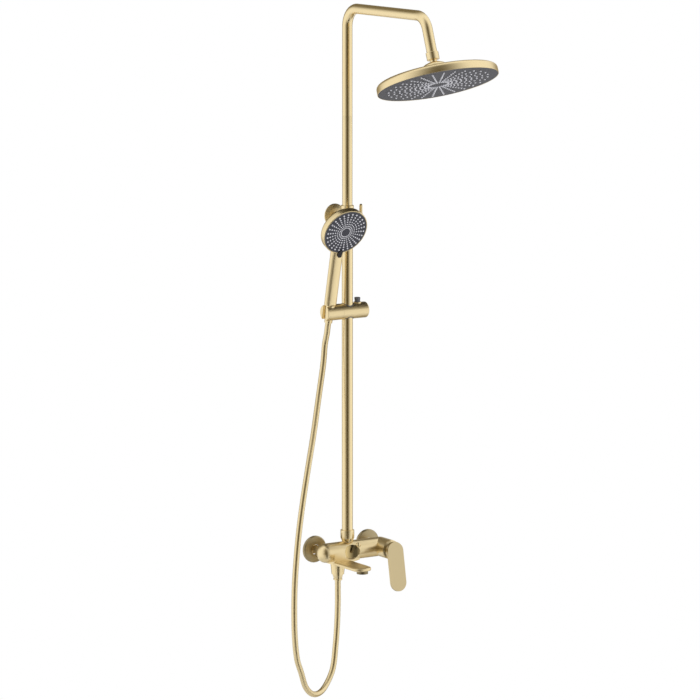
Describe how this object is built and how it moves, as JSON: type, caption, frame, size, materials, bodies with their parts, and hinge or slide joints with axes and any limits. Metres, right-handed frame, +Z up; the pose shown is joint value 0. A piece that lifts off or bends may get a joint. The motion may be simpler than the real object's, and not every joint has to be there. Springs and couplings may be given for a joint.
{
  "type": "rainfall shower column",
  "caption": "Wall-mounted shower column with a single-lever mixer, bath spout, telescopic riser, tilting rain head and a hand shower on a sliding holder.",
  "frame": {"origin": "on the wall plane, midway between the two inlets, at the inlets' height", "axes": "+Z up along the wall, +X to the right for a viewer facing the wall, -Y out of the wall into the room"},
  "size_m": [0.351, 0.5876, 1.6404],
  "materials": {
    "gold": "brushed, champagne-gold coating",
    "gold_plastic": "brushed, champagne-gold coating on a moulding",
    "brass": "plain machined",
    "hose_metal": "fine spiral of brushed metal strip",
    "steel": "plain machined",
    "rubber_black": "moulded, matt",
    "plastic_white": "moulded",
    "ceramic": null,
    "plastic_grey": "moulded, satin",
    "face_grey": "satin plate",
    "nozzle_rubber": "soft silicone, light grey"
  },
  "bodies": {
    "mixer": {"wall_union_left": "gold", "wall_union_right": "gold", "wall_rosette_left": "gold", "wall_rosette_right": "gold", "inlet_o_rings": "rubber_black", "inlet_filters": "steel", "mixer_body": "gold", "set_screws": "steel", "bath_spout": "gold", "aerator_ring": "brass", "aerator_insert": "plastic_white", "hose_outlet": "gold", "check_valve": "plastic_white", "mixing_cartridge": "plastic_white", "fixed_disc": "ceramic", "cartridge_nut": "brass", "cartridge_bonnet": "gold", "diverter_valve": "brass", "riser_seal": "rubber_black", "riser_nut": "gold", "lower_riser": "gold", "bracket_base": "brass", "bracket_rosette": "gold", "bracket_arm": "gold", "lock_collar": "gold", "lock_bush": "plastic_grey", "hose_nut": "gold", "shower_hose": "hose_metal"},
    "carrier": {"cartridge_carrier": "plastic_grey", "moving_disc": "ceramic", "spindle_pin": "steel"},
    "lever": {"cartridge_spindle": "gold", "lever_handle": "gold", "lever_screw": "steel"},
    "diverter": {"diverter_stem": "steel", "diverter_knob": "gold"},
    "lock": {"lock_lever": "gold"},
    "riser_guide": {"guide_bush": "plastic_white", "guide_o_rings": "rubber_black"},
    "arm": {"upper_riser": "gold", "arm_washer": "rubber_black", "arm_end_nut": "gold", "ball_fitting": "gold"},
    "swivel": {"ball_seat": "plastic_grey"},
    "rain_head": {"head_collar": "gold", "rain_head_casing": "gold_plastic", "head_back_plate": "plastic_grey", "rain_head_face": "face_grey", "rain_head_nozzles": "nozzle_rubber"},
    "slider": {"slider_body": "gold_plastic", "slider_bush": "plastic_grey", "brake_plunger": "steel", "holder_axle": "steel", "button_spring": "steel"},
    "release": {"release_button": "plastic_grey"},
    "holder": {"handset_holder": "gold_plastic"},
    "handset": {"handset_body": "gold_plastic", "hose_cone_nut": "gold"},
    "spray_face": {"handset_face": "face_grey", "handset_nozzles": "nozzle_rubber"}
  },
  "joints": [
    {"name": "temperature_turn", "type": "hinge", "parent": "mixer", "child": "carrier", "pos_m": [0.075, -0.11, 0], "axis": [0, 1, 0], "range_deg": [-45, 45]},
    {"name": "lever_lift", "type": "hinge", "parent": "carrier", "child": "lever", "pos_m": [0.075, -0.11, 0], "axis": [-1, 0, 0], "range_deg": [0, 18]},
    {"name": "diverter_turn", "type": "hinge", "parent": "mixer", "child": "diverter", "pos_m": [-0.017, -0.07, 0], "axis": [0, -1, 0], "range_deg": [0, 90]},
    {"name": "lock_turn", "type": "hinge", "parent": "mixer", "child": "lock", "pos_m": [0.021, -0.057, 0.799], "axis": [1, 0, 0], "range_deg": [0, 180]},
    {"name": "riser_extend", "type": "slide", "parent": "mixer", "child": "riser_guide", "axis": [0, 0, 1], "range_m": [-0.15, 0.1]},
    {"name": "arm_swing", "type": "hinge", "parent": "riser_guide", "child": "arm", "pos_m": [-0.017, -0.057, 0.7], "axis": [0, 0, 1], "range_deg": [-60, 60]},
    {"name": "head_spin", "type": "hinge", "parent": "arm", "child": "swivel", "pos_m": [-0.017, -0.42486, 1.18262], "axis": [0, 0.342, 0.9397], "continuous": true},
    {"name": "head_tilt", "type": "hinge", "parent": "swivel", "child": "rain_head", "pos_m": [-0.017, -0.42486, 1.18262], "axis": [1, 0, 0], "range_deg": [-15, 15]},
    {"name": "slider_slide", "type": "slide", "parent": "mixer", "child": "slider", "axis": [0, 0, 1], "range_m": [-0.4, 0.12], "deforming": ["shower_hose"]},
    {"name": "button_press", "type": "slide", "parent": "slider", "child": "release", "axis": [0, 0, -1], "range_m": [0, 0.003], "stiffness_N_per_m": 1500, "springref_m": -0.001, "deforming": ["button_spring"]},
    {"name": "holder_tilt", "type": "hinge", "parent": "slider", "child": "holder", "pos_m": [-0.067, -0.057, 0.577], "axis": [1, 0, 0], "range_deg": [-7, 20]},
    {"name": "handset_lift", "type": "slide", "parent": "holder", "child": "handset", "axis": [0, -0.2181, 0.9759], "range_m": [0, 0.05]},
    {"name": "spray_select", "type": "hinge", "parent": "handset", "child": "spray_face", "pos_m": [-0.067, -0.12797, 0.77529], "axis": [0, -0.898, -0.4399], "range_deg": [-30, 30]}
  ]
}
